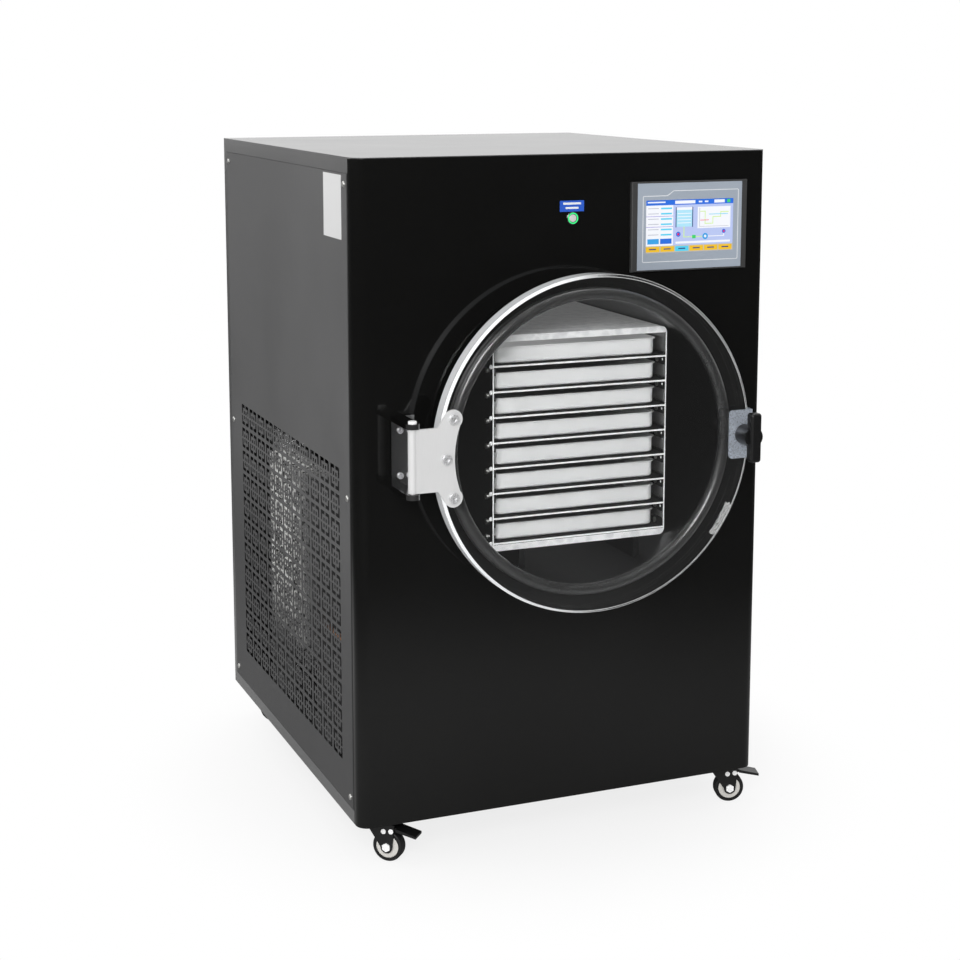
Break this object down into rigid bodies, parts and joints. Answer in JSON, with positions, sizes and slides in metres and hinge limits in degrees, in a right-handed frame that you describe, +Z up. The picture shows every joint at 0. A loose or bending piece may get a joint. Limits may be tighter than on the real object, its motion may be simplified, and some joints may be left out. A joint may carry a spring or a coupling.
{
  "type": "freeze dryer",
  "caption": "Cabinet freeze dryer on braked casters: round clear door with hinge and T-latch, tray rack in a vacuum chamber, touch display, side vents.",
  "frame": {"origin": "on the floor, under the middle of the machine's bounding box", "axes": "+Z up; +Y from the door back to the rear panel; +X to the right as seen from the door"},
  "size_m": [0.7294, 0.899, 1.11],
  "materials": {
    "gloss_black": "gloss black enamel",
    "textured_grey": "fine-textured dark grey powder coat",
    "steel_grey": "satin black paint",
    "stainless": "satin stainless steel",
    "foil": "crinkled foil tape",
    "polished_steel": "polished",
    "aluminium": "satin",
    "black_rubber": "matte rubber",
    "clear_acrylic": "clear, polished",
    "foam": "rigid foam",
    "copper": "bare copper",
    "black_plastic": "black, satin",
    "dark_plastic": "dark grey, satin",
    "silver_plastic": "silver grey, satin",
    "screen_glass": "glass front of a display",
    "button_steel": "brushed, with a lit ring",
    "label_film": "printed film",
    "wheel_rubber": "smooth tread"
  },
  "bodies": {
    "cabinet": {"base_frame": "steel_grey", "cabinet_shell": "textured_grey", "front_panel": "gloss_black", "left_side_panel": "textured_grey", "right_side_panel": "textured_grey", "rear_panel": "textured_grey", "panel_screws": "polished_steel", "chamber": "stainless", "chamber_insulation": "foam", "cooling_coil": "copper", "door_gasket": "black_rubber", "rack_sides": "stainless", "shelves": "stainless", "rack_end_plates": "foil", "rack_screws": "polished_steel", "compressor": "steel_grey", "compressor_mounts": "black_rubber", "condenser": "aluminium", "fan_motor": "black_plastic", "refrigerant_pipes": "copper", "control_box": "steel_grey", "display_housing": "dark_plastic", "display_faceplate": "silver_plastic", "display_screen": "screen_glass", "switch_body": "polished_steel", "labels": "label_film", "hinge_bracket": "stainless", "hinge_bolts": "polished_steel", "hinge_pin": "polished_steel", "latch_keeper": "black_plastic", "vacuum_port": "stainless", "power_inlet": "black_plastic", "caster_plates": "black_plastic", "tray_1": "aluminium", "tray_2": "aluminium", "tray_3": "aluminium", "tray_4": "aluminium", "tray_5": "aluminium", "tray_6": "aluminium", "tray_7": "aluminium", "tray_8": "aluminium"},
    "door": {"door": "clear_acrylic", "hinge_leaf": "stainless", "leaf_screws": "polished_steel", "latch_plate": "polished_steel"},
    "latch": {"latch_handle": "black_plastic"},
    "button": {"power_button": "button_steel"},
    "fan": {"fan_blade": "black_plastic"},
    "caster_1": {"caster_fork_1": "black_plastic"},
    "wheel_1": {"caster_wheel_1": "wheel_rubber"},
    "brake_1": {"caster_brake_1": "black_plastic"},
    "caster_2": {"caster_fork_2": "black_plastic"},
    "wheel_2": {"caster_wheel_2": "wheel_rubber"},
    "brake_2": {"caster_brake_2": "black_plastic"},
    "caster_3": {"caster_fork_3": "black_plastic"},
    "wheel_3": {"caster_wheel_3": "wheel_rubber"},
    "brake_3": {"caster_brake_3": "black_plastic"},
    "caster_4": {"caster_fork_4": "black_plastic"},
    "wheel_4": {"caster_wheel_4": "wheel_rubber"},
    "brake_4": {"caster_brake_4": "black_plastic"}
  },
  "joints": [
    {"name": "door_hinge", "type": "hinge", "parent": "cabinet", "child": "door", "pos_m": [-0.29619, -0.4035, 0.664], "axis": [0, 0, -1], "range_deg": [0, 120]},
    {"name": "latch_turn", "type": "hinge", "parent": "door", "child": "latch", "pos_m": [0.26281, -0.4055, 0.664], "axis": [0, 1, 0], "range_deg": [0, 90]},
    {"name": "power_button_press", "type": "slide", "parent": "cabinet", "child": "button", "axis": [0, 1, 0], "range_m": [0, 0.0025], "stiffness_N_per_m": 300, "springref_m": -0.0005},
    {"name": "fan_spin", "type": "hinge", "parent": "cabinet", "child": "fan", "pos_m": [-0.28219, 0.0845, 0.405], "axis": [1, 0, 0], "continuous": true},
    {"name": "caster_swivel_1", "type": "hinge", "parent": "cabinet", "child": "caster_1", "pos_m": [-0.31819, -0.2915, 0.025], "axis": [0, 0, 1], "continuous": true},
    {"name": "wheel_spin_1", "type": "hinge", "parent": "caster_1", "child": "wheel_1", "pos_m": [-0.30332, -0.30488, 0.025], "axis": [0.6691, 0.7431, 0], "continuous": true},
    {"name": "brake_press_1", "type": "hinge", "parent": "caster_1", "child": "brake_1", "pos_m": [-0.29738, -0.31024, 0.054], "axis": [0.6691, 0.7431, 0], "range_deg": [0, 10]},
    {"name": "caster_swivel_2", "type": "hinge", "parent": "cabinet", "child": "caster_2", "pos_m": [0.29381, -0.2915, 0.025], "axis": [0, 0, 1], "continuous": true},
    {"name": "wheel_spin_2", "type": "hinge", "parent": "caster_2", "child": "wheel_2", "pos_m": [0.31304, -0.29701, 0.025], "axis": [0.2756, 0.9613, 0], "continuous": true},
    {"name": "brake_press_2", "type": "hinge", "parent": "caster_2", "child": "brake_2", "pos_m": [0.32073, -0.29922, 0.054], "axis": [0.2756, 0.9613, 0], "range_deg": [0, 10]},
    {"name": "caster_swivel_3", "type": "hinge", "parent": "cabinet", "child": "caster_3", "pos_m": [-0.31819, 0.3805, 0.025], "axis": [0, 0, 1], "continuous": true},
    {"name": "wheel_spin_3", "type": "hinge", "parent": "caster_3", "child": "wheel_3", "pos_m": [-0.30201, 0.36874, 0.025], "axis": [0.5878, 0.809, 0], "continuous": true},
    {"name": "brake_press_3", "type": "hinge", "parent": "caster_3", "child": "brake_3", "pos_m": [-0.29553, 0.36404, 0.054], "axis": [0.5878, 0.809, 0], "range_deg": [0, 10]},
    {"name": "caster_swivel_4", "type": "hinge", "parent": "cabinet", "child": "caster_4", "pos_m": [0.29381, 0.3805, 0.025], "axis": [0, 0, 1], "continuous": true},
    {"name": "wheel_spin_4", "type": "hinge", "parent": "caster_4", "child": "wheel_4", "pos_m": [0.31261, 0.37366, 0.025], "axis": [0.342, 0.9397, 0], "continuous": true},
    {"name": "brake_press_4", "type": "hinge", "parent": "caster_4", "child": "brake_4", "pos_m": [0.32013, 0.37092, 0.054], "axis": [0.342, 0.9397, 0], "range_deg": [0, 10]}
  ]
}
